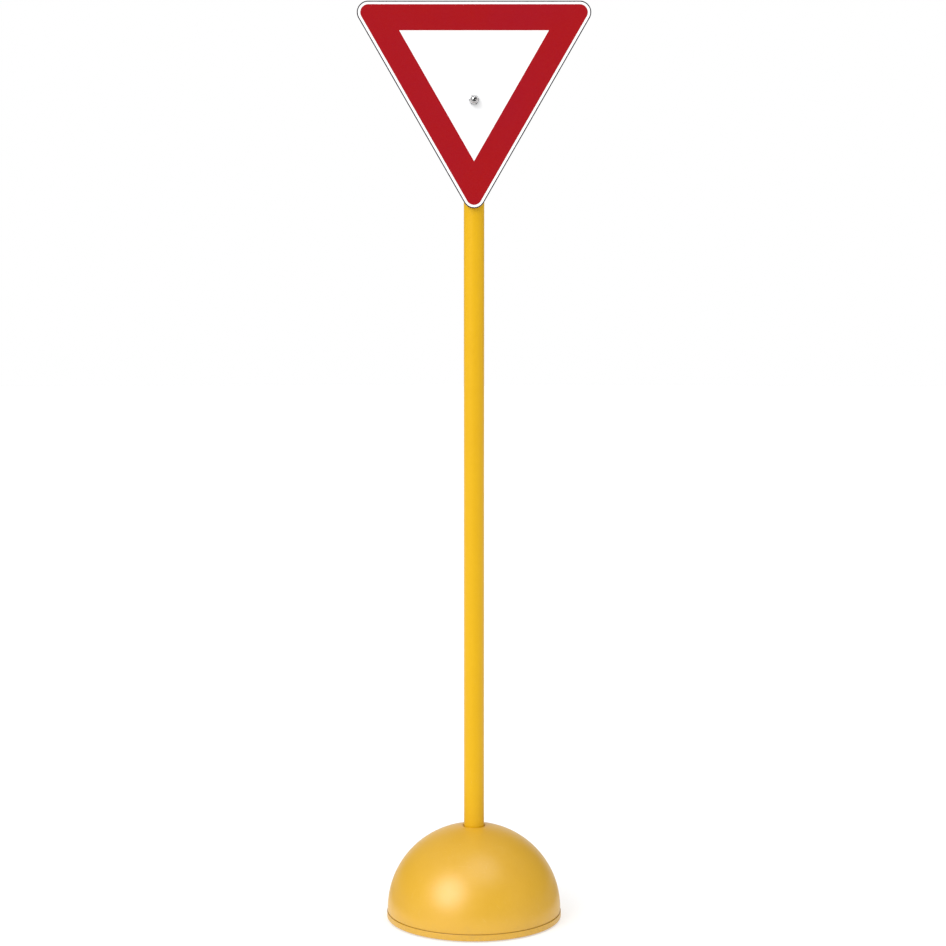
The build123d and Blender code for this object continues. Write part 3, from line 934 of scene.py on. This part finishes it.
plate_low, plate_high = low("socket_plate").z, high("socket_plate").z
plate_section = rounded([
    (0, plate_low, 0), (SOCKET_PLATE_RADIUS, plate_low, 0.4 * MM),
    (SOCKET_PLATE_RADIUS, plate_high, 0.4 * MM), (0, plate_high, 0),
], steps=4)
lathe("base_plate", plate_section, "socket_plate", socket_steel)

liner_low, liner_high = low("socket_liner").z, high("socket_liner").z
liner_section = held(rounded([
    (0, liner_low, 0), (LINER_OUTER, liner_low, 0.6 * MM), (LINER_OUTER, liner_high, 0.3 * MM),
    (LINER_BORE + LINER_CHAMFER, liner_high, 0.2 * MM), (LINER_BORE, liner_high - LINER_CHAMFER, 0.2 * MM),
    (LINER_BORE, liner_low + LINER_FLOOR, 0.5 * MM), (0, liner_low + LINER_FLOOR, 0),
], steps=4), 0.2 * MM)
lathe("liner_cup", liner_section, "socket_liner", liner_white)
stands_for(softened("ballast_block", 0.6 * MM, 2), "ballast_block", concrete)

# %% [markdown]
# ## Pole
#
# A steel tube with rolled-smooth ends, cross-drilled for the bolt, and a plug pushed into
# each end. The extra rings just above and below the hole keep the Boolean cut local, so the
# long wall stays one clean, evenly shaded surface.

# %% Tube and plugs
TUBE_WALL = 1.5 * MM
HOLE_RADIUS = 4.25 * MM
RING_REACH = 7 * MM              # the extra rings, above and below the bolt
tube_bore = pole_radius - TUBE_WALL


def tube_profile():
    """Section of the tube's wall with rounded ends and rings near the bolt's height."""
    ends = rounded([
        (tube_bore, tube_bottom, 0.3 * MM), (pole_radius, tube_bottom, 0.4 * MM),
        (pole_radius, tube_top, 0.4 * MM), (tube_bore, tube_top, 0.3 * MM),
    ], steps=4)
    half = len(ends) // 2
    near = np.array([-RING_REACH, RING_REACH]) + bolt_z
    outer = np.stack([np.full(2, pole_radius), near], 1)
    inner = np.stack([np.full(2, tube_bore), near[::-1]], 1)
    return held(np.concatenate([ends[:half], outer, ends[half:], inner]))


pole = from_grids("pole_wall", [turned(tube_profile(), 192)])
drill = along_bolt(rod(HOLE_RADIUS, -2 * pole_radius, 2 * pole_radius, 64), 0.0, 1)
combined(pole, from_grids("drill", [drill]), "DIFFERENCE")
stands_for(pole, "pole_tube", pole_yellow)


def plug_profile():
    """Section of an end plug: a domed flange at the top and three fins on a hollow core."""
    fin, core, bore = 13.4 * MM, 12.6 * MM, 11.0 * MM
    core_end, bore_end, fin_step, fin_height = -18 * MM, -2.5 * MM, 4.5 * MM, 1.2 * MM
    flange = [(0, 2.5, 0), (13.75, 2.5, 0.6), (15, 1.25, 0.6), (15, 0, 0.15)]
    corners = [(r * MM, z * MM, edge * MM) for r, z, edge in flange] + [(core, 0, 0)]
    for step in range(3):
        top = -(step + 1) * fin_step
        end = top - fin_height
        corners += [(core, top, 0), (fin, top - 0.2 * MM, 0.15 * MM), (fin, end, 0.15 * MM), (core, end, 0)]
    corners += [(core, core_end, 0.3 * MM), (bore, core_end, 0.3 * MM), (bore, bore_end, 0.3 * MM)]
    return held(rounded(corners + [(0, bore_end, 0)], steps=4), 0.15 * MM)


top_plug = plug_profile() + [0, tube_top]
foot_plug = plug_profile() * [1, -1] + [0, tube_bottom]
lathe("top_plug", top_plug, "pole_top_plug", plug_black)
lathe("foot_plug", foot_plug, "pole_foot_plug", plug_black)

# %% [markdown]
# ## The plate and its films
#
# The plate is a triangle whose corners are true arcs. Moving an edge inwards keeps the arc's
# centre and shrinks its radius; once the radius is used up, the corner is sharp and runs in
# along the bisector at twice the distance, because the corner is 60 degrees. So one formula
# gives every outline on the sign, all with the same number of points, and a layer is simply
# the surface between two of them.

# %% Sign outlines
CORNER_RADIUS = 16.5 * MM
CONTOUR_WIDTH = 1.5 * MM
BORDER_START = 5.0 * MM
BORDER_END = 42.2 * MM
sign_top = high("sign_plate").z
sign_half = high("sign_plate").x
sign_side = 2 * sign_half + 2 * (sqrt(3) - 1) * CORNER_RADIUS


def sign_outline(inset, steps=24):
    """Outline of the sign at an inset from its edge, clockwise seen from the front.

    point = arc centre + max(r - inset, 0) (cos a, sin a) - 2 max(inset - r, 0) bisector.
    """
    side = sign_side - 2 * sqrt(3) * CORNER_RADIUS
    top = sign_top - CORNER_RADIUS
    centres = np.array([(-side / 2, top), (side / 2, top), (0, top - side * sqrt(3) / 2)])
    middles = np.radians([150, 30, -90])
    angle = middles[:, None] + np.radians(np.linspace(60, -60, steps))
    ring = max(CORNER_RADIUS - inset, 0) * np.stack([np.cos(angle), np.sin(angle)], -1)
    slide = 2 * max(inset - CORNER_RADIUS, 0) * np.stack([np.cos(middles), np.sin(middles)], -1)
    return (centres[:, None] + ring - slide[:, None]).reshape(-1, 2)


def hole_outline(radius, like):
    """Circle round the bolt's axis with as many points as another outline, facing the same way."""
    away = like - [0, bolt_z]
    return away / np.linalg.norm(away, axis=1, keepdims=True) * radius + [0, bolt_z]


def layer(name, rows):
    """Closed surface through outlines, each given as (outline, y). The last joins the first."""
    points = [np.insert(outline, 1, y, axis=1) for outline, y in rows]
    return from_grids(name, [(np.stack(points), True, True)])


# %% Plate, sheeting, line and border
FACE_HOLD = 0.3 * MM
PLATE_EDGE, SHEETING_EDGE, FILM_LIP = 0.3 * MM, 0.08 * MM, 0.06 * MM


def edge_rows(front, back, bevel, steps=4):
    """Outer rows of a sheet from front to back, its edge rounded by the bevel radius.

    A row just inside the bevel, on the flat, keeps the shading of the edge off the face.
    """
    turn = np.linspace(0, pi / 2, steps + 1)
    curve = [(bevel + FACE_HOLD, 0)] + [(bevel * (1 - sin(a)), bevel * (1 - cos(a))) for a in turn]
    rows = [(sign_outline(inset), front + depth) for inset, depth in curve]
    return rows + [(sign_outline(inset), back - depth) for inset, depth in reversed(curve)]


def drilled_sheet(name, node, bevel):
    """A sheet with the sign's outline and the bolt hole, as thick as its CAD node."""
    front, back = low(node).y, high(node).y
    hole = hole_outline(HOLE_RADIUS, sign_outline(0))
    return layer(name, [(hole, front)] + edge_rows(front, back, bevel) + [(hole, back)])


def film_ring(name, node, outer, inner):
    """A flat band between two outlines, as thick as its CAD node, with a softened front edge."""
    front, back = low(node).y, high(node).y
    below = front + FILM_LIP
    rows = [(outer, back), (outer, below), (outer + FILM_LIP, front)]
    rows += [(inner - FILM_LIP, front), (inner, below), (inner, back)]
    return layer(name, [(sign_outline(inset), y) for inset, y in rows])


plate = drilled_sheet("plate", "sign_plate", PLATE_EDGE)
sheeting = drilled_sheet("sheeting", "reflective_sheeting", SHEETING_EDGE)
edge_line = film_ring("edge_line", "contour_line", 0.0, CONTOUR_WIDTH)
border = film_ring("border", "red_border", BORDER_START, BORDER_END)
stands_for(plate, "sign_plate", plate_aluminium)
stands_for(sheeting, "reflective_sheeting", white_sheeting)
stands_for(edge_line, "contour_line", contour_black)
stands_for(border, "red_border", border_red)

# %% [markdown]
# ## Cap nut and bolt
#
# The nut is the one bright metal piece on the face, so its shape has to be right. It is a
# hexagon bar turned on a lathe: the lathe's profile cuts each corner away in a curve. That is
# one formula, the smaller of two radii, the hexagon's and the lathe's, at every angle.

# %% Hexagons and squares with round corners
def bar_radius(angle, sides, across_flats, corner_round):
    """Radius of a many-sided bar at an angle from its centre, with its corners rounded.

    On a flat it is (width / 2) / cos(angle from the flat's middle). Near a corner it is the
    far crossing with the corner's arc: d cos p + sqrt(round^2 - d^2 sin^2 p).
    """
    half_step = pi / sides
    from_flat = (angle % (2 * half_step)) - half_step
    from_corner = half_step - np.abs(from_flat)
    flat = across_flats / 2 / np.cos(from_flat)
    centre = (across_flats / 2 - corner_round) / cos(half_step)
    inside = corner_round ** 2 - (centre * np.sin(from_corner)) ** 2
    arc = centre * np.cos(from_corner) + np.sqrt(np.maximum(inside, 0))
    reach = centre * sin(half_step)
    is_arc = np.abs(np.tan(from_flat)) * across_flats / 2 > reach
    return np.where(is_arc, arc, flat)


def on_axis(radii, heights):
    """Grid from an array of radii (rows, angles) and a height for each row."""
    angle = np.linspace(0, 2 * pi, radii.shape[1], endpoint=False)
    up = np.broadcast_to(heights[:, None], radii.shape)
    return np.stack([radii * np.cos(angle), radii * np.sin(angle), up], -1), False, True


# %% Nut
NUT_FLATS = 13 * MM
NUT_HEX_HEIGHT = 6.5 * MM
NUT_DOME_RADIUS = 6.25 * MM
NUT_BORE = 4.05 * MM
NUT_DEPTH = 11.7 * MM
NUT_CORNER_ROUND = 0.35 * MM
nut_height = high("cap_nut").y - low("cap_nut").y


def nut_grid(columns=240):
    """Cap nut from its seat out to its crown: radius = smaller of the bar's and the lathe's."""
    corner = NUT_FLATS / sqrt(3)
    flat = NUT_FLATS / 2
    drop = (corner - flat) * 0.6
    mouth = 0.5 * MM
    bore = [(0, NUT_DEPTH), (NUT_BORE, NUT_DEPTH - 1.2 * MM), (NUT_BORE, mouth), (NUT_BORE + mouth, 0)]
    seat = [(flat - 0.2 * MM, 0), (flat, 0)]
    low_cut = np.linspace((flat, 0), (corner, drop), 14)[1:]
    high_cut = np.linspace((corner, NUT_HEX_HEIGHT - drop), (flat, NUT_HEX_HEIGHT), 14)
    shoulder = [(0.06 * MM, 0.05 * MM), (0, 0.2 * MM)] + np.array([NUT_DOME_RADIUS, NUT_HEX_HEIGHT])
    crown = circle(np.linspace(0, pi / 2, 40)) * NUT_DOME_RADIUS + [0, nut_height - NUT_DOME_RADIUS]
    section = np.concatenate([bore, seat, low_cut, high_cut, shoulder, crown])
    angle = np.linspace(0, 2 * pi, columns, endpoint=False)
    bar = bar_radius(angle, 6, NUT_FLATS, NUT_CORNER_ROUND)
    return on_axis(np.minimum(section[:, :1], bar), section[:, 1])


nut = from_grids("nut", [along_bolt(nut_grid(), high("cap_nut").y, -1)])
stands_for(nut, "cap_nut", nut_steel)

# %% Bolt
BOLT_RADIUS = 4 * MM
THREAD_PITCH = 1.25 * MM
THREAD_DEPTH = 0.6 * MM
THREAD_LENGTH = 24 * MM
SADDLE_EDGE = 0.5 * MM
NECK_DEPTH, NECK_FLATS, NECK_ROUND, NECK_REACH = 2.85 * MM, 8 * MM, 0.6 * MM, 5.5 * MM
head_face = 18 * MM
head_height = high("sign_bolt").y - head_face
head_radius = high("sign_bolt").x


def bolt_grid(columns=96):
    """Bolt from its tip to its head, made about +Z with the head's flat underside at height 0.

    The thread is a ridge that climbs one pitch a turn: its phase is height / pitch - angle /
    (2 pi), and the radius drops by the depth where the phase is near a whole number. The head
    is a cap of a sphere through its rim and crown.
    """
    angle = np.linspace(0, 2 * pi, columns, endpoint=False)
    tip = low("sign_bolt").y - head_face
    heights = np.linspace(tip + 1 * MM, tip + THREAD_LENGTH, 200)
    phase = (heights[:, None] / THREAD_PITCH - angle / (2 * pi)) % 1
    groove = np.clip(np.abs(phase - 0.5) * 2.6 - 0.3, 0, 1)
    run_out = np.clip((tip + THREAD_LENGTH - heights) / THREAD_PITCH, 0, 1)[:, None]
    thread = BOLT_RADIUS - THREAD_DEPTH * groove * run_out
    square = np.minimum(bar_radius(angle, 4, NECK_FLATS, NECK_ROUND), NECK_REACH)[None]
    shank = np.full((1, columns), BOLT_RADIUS)
    crown = (head_radius ** 2 + head_height ** 2) / (2 * head_height)
    sweep = np.linspace(np.arcsin(head_radius / crown) * 0.985, 0, 24)
    cap = np.stack([crown * np.sin(sweep), head_height - crown + crown * np.cos(sweep)], 1)
    point = 0 * shank
    body = [point, shank * 0.8, thread, shank, shank, square, square]
    head = [point + head_radius - 0.3 * MM, point + head_radius - 0.05 * MM]
    head += [np.broadcast_to(cap[:, :1], (len(cap), columns))]
    levels = [[tip], [tip], heights, [tip + THREAD_LENGTH], [-NECK_DEPTH - 0.3 * MM], [-NECK_DEPTH]]
    levels += [[0], [0], [0.15 * MM], cap[:, 1]]
    return on_axis(np.concatenate(body + head), np.concatenate(levels))


bolt = from_grids("carriage_bolt", [along_bolt(bolt_grid(), head_face, 1)])
stands_for(bolt, "sign_bolt", zinc_steel)
for saddle in ("front_saddle", "rear_saddle"):
    stands_for(softened(saddle, SADDLE_EDGE), saddle, saddle_black)

# %% [markdown]
# ## Floor, light and camera
#
# A small studio: a floor lit from below, so that the shadow on it stays faint, a broad soft
# key from the upper left, a weaker one overhead, and an even white room that fills the
# shadows. Glossy surfaces see that room as a photographer would dress it: a window at the
# front left, dim side walls, a white back wall and a dark front, with black cloths laid under
# the camera and beside the foot. Without something dark to reflect, polished metal looks like
# grey paint and the sides of the dome turn pale.

# %% Floor
FLOOR_RADIUS = 30.0
FLOOR_GREY = (0.55, 0.55, 0.55, 1)
FLOOR_GLOW = 0.50
FLOOR_SEGMENTS = 96
floor_tone = bpy.data.materials.new("floor_white")
floor_tone.use_nodes = True
floor_shader = floor_tone.node_tree.nodes["Principled BSDF"]
floor_shader.inputs["Base Color"].default_value = FLOOR_GREY
floor_shader.inputs["Emission Color"].default_value = (1, 1, 1, 1)
floor_shader.inputs["Emission Strength"].default_value = FLOOR_GLOW
floor_shader.inputs["Roughness"].default_value = 0.9
rings = np.concatenate([[0], np.geomspace(0.2, FLOOR_RADIUS, 24)])
floor_points = turned(np.column_stack([rings, 0 * rings]), FLOOR_SEGMENTS)[0].reshape(-1, 3)
floor_faces = grid_faces(len(rings), FLOOR_SEGMENTS, False, True)[:, ::-1]
floor_mesh = bpy.data.meshes.new("floor")
floor_mesh.from_pydata(floor_points.tolist(), [], floor_faces.tolist())
floor = link(floor_mesh, "floor")
floor.data.materials.append(floor_tone)

# %% World
world = bpy.data.worlds.new("studio room")
bpy.context.scene.world = world
world.use_nodes = True
sky = world.node_tree
ray = sky.nodes.new("ShaderNodeTexCoord").outputs["Generated"]
ray_x, ray_y = add_node(sky, "SeparateXYZ", {"Vector": ray}).outputs[:2]
KEY_FROM = (-0.533, -0.655, 0.536)
OVERHEAD_FROM = (0.157, -0.338, 0.922)
ROOM_LIGHT, RIGHT_LIGHT = 0.785, 0.635
DARK_FRONT, FRONT_SIDE, REAR_SIDE, BACK_WALL, WINDOW = 0.02, 0.42, 0.09, 1.0, 2.4
matt_light = rescaled(sky, ray_x, -0.2, 0.7, ROOM_LIGHT, RIGHT_LIGHT)

is_right = rescaled(sky, ray_x, 0.55, 0.85)
is_left = rescaled(sky, ray_x, -0.15, -0.45)
to_side = calculate(sky, "MAXIMUM", is_right, is_left)
side_wall = rescaled(sky, ray_y, -0.45, 0.1, FRONT_SIDE, REAR_SIDE)
sides = rescaled(sky, to_side, 0.0, 1.0, DARK_FRONT, side_wall, smooth=False)
back = rescaled(sky, ray_y, 0.78, 1.0, 0.0, BACK_WALL)
to_window = add_node(sky, "VectorMath", {0: ray, 1: KEY_FROM}, operation="DOT_PRODUCT").outputs["Value"]
window = rescaled(sky, to_window, 0.88, 0.96, 0.0, WINDOW)
glossy_light = calculate(sky, "MAXIMUM", calculate(sky, "MAXIMUM", sides, back), window)

light_path = sky.nodes.new("ShaderNodeLightPath").outputs
by_kind = {"Factor": light_path["Is Glossy Ray"], "A": matt_light, "B": glossy_light}
seen_light = add_node(sky, "Mix", by_kind).outputs[0]
strength = calculate(sky, "MAXIMUM", light_path["Is Camera Ray"], seen_light)
backdrop = sky.nodes["Background"]
backdrop.inputs["Color"].default_value = (1, 1, 1, 1)
sky.links.new(strength, backdrop.inputs["Strength"])

# %% Black cloths seen only in reflections: one under the camera, one at each side of the foot
CLOTHS = [(-3.5, 3.5, -29.0, -0.9), (-0.65, -0.25, -0.35, 0.5), (0.25, 0.65, -0.35, 0.5)]
CLOTH_LIFT = 2 * MM
CLOTH_BLACK = (0.01, 0.01, 0.01, 1)
black = bpy.data.materials.new("black_cloth")
black.use_nodes = True
black.node_tree.nodes["Principled BSDF"].inputs["Base Color"].default_value = CLOTH_BLACK
cloth_mesh = bpy.data.meshes.new("black_cloth")
cloth_corners = []
for west, east, near, far in CLOTHS:
    cloth_corners += [(x, y, CLOTH_LIFT) for x, y in ((west, near), (east, near), (east, far), (west, far))]
cloth_faces = np.arange(len(cloth_corners)).reshape(-1, 4).tolist()
cloth_mesh.from_pydata(cloth_corners, [], cloth_faces)
cloth = link(cloth_mesh, "black_cloth")
cloth.data.materials.append(black)
cloth.visible_camera = cloth.visible_diffuse = cloth.visible_shadow = False


# %% Lights
def soft_sun(name, direction, energy, spread):
    """A wide, even light that comes from a direction, as from a large far window."""
    sun = bpy.data.objects.new(name, bpy.data.lights.new(name, "SUN"))
    sun.data.energy = energy
    sun.data.angle = radians(spread)
    sun.rotation_euler = Vector(direction).to_track_quat("Z", "Y").to_euler()
    bpy.context.scene.collection.objects.link(sun)
    return sun


soft_sun("key light", KEY_FROM, 1.25, 38)
soft_sun("overhead light", OVERHEAD_FROM, 0.60, 40)

# %% Camera
CAMERA_DISTANCE = 2.915
CAMERA_HEIGHT = 0.872
CAMERA_SIDE = -0.0015
CAMERA_TILT = radians(4.0355)
CAMERA_LENS = 75.38
SENSOR_WIDTH = 36
camera_data = bpy.data.cameras.new("camera")
camera_data.lens = CAMERA_LENS
camera_data.sensor_width = SENSOR_WIDTH
camera = bpy.data.objects.new("camera", camera_data)
camera.location = (CAMERA_SIDE, -CAMERA_DISTANCE, CAMERA_HEIGHT)
camera.rotation_euler = (pi / 2 - CAMERA_TILT, 0, 0)
bpy.context.scene.collection.objects.link(camera)
bpy.context.scene.camera = camera
bpy.context.scene.view_settings.view_transform = "Standard"
bpy.context.scene.view_settings.look = "None"
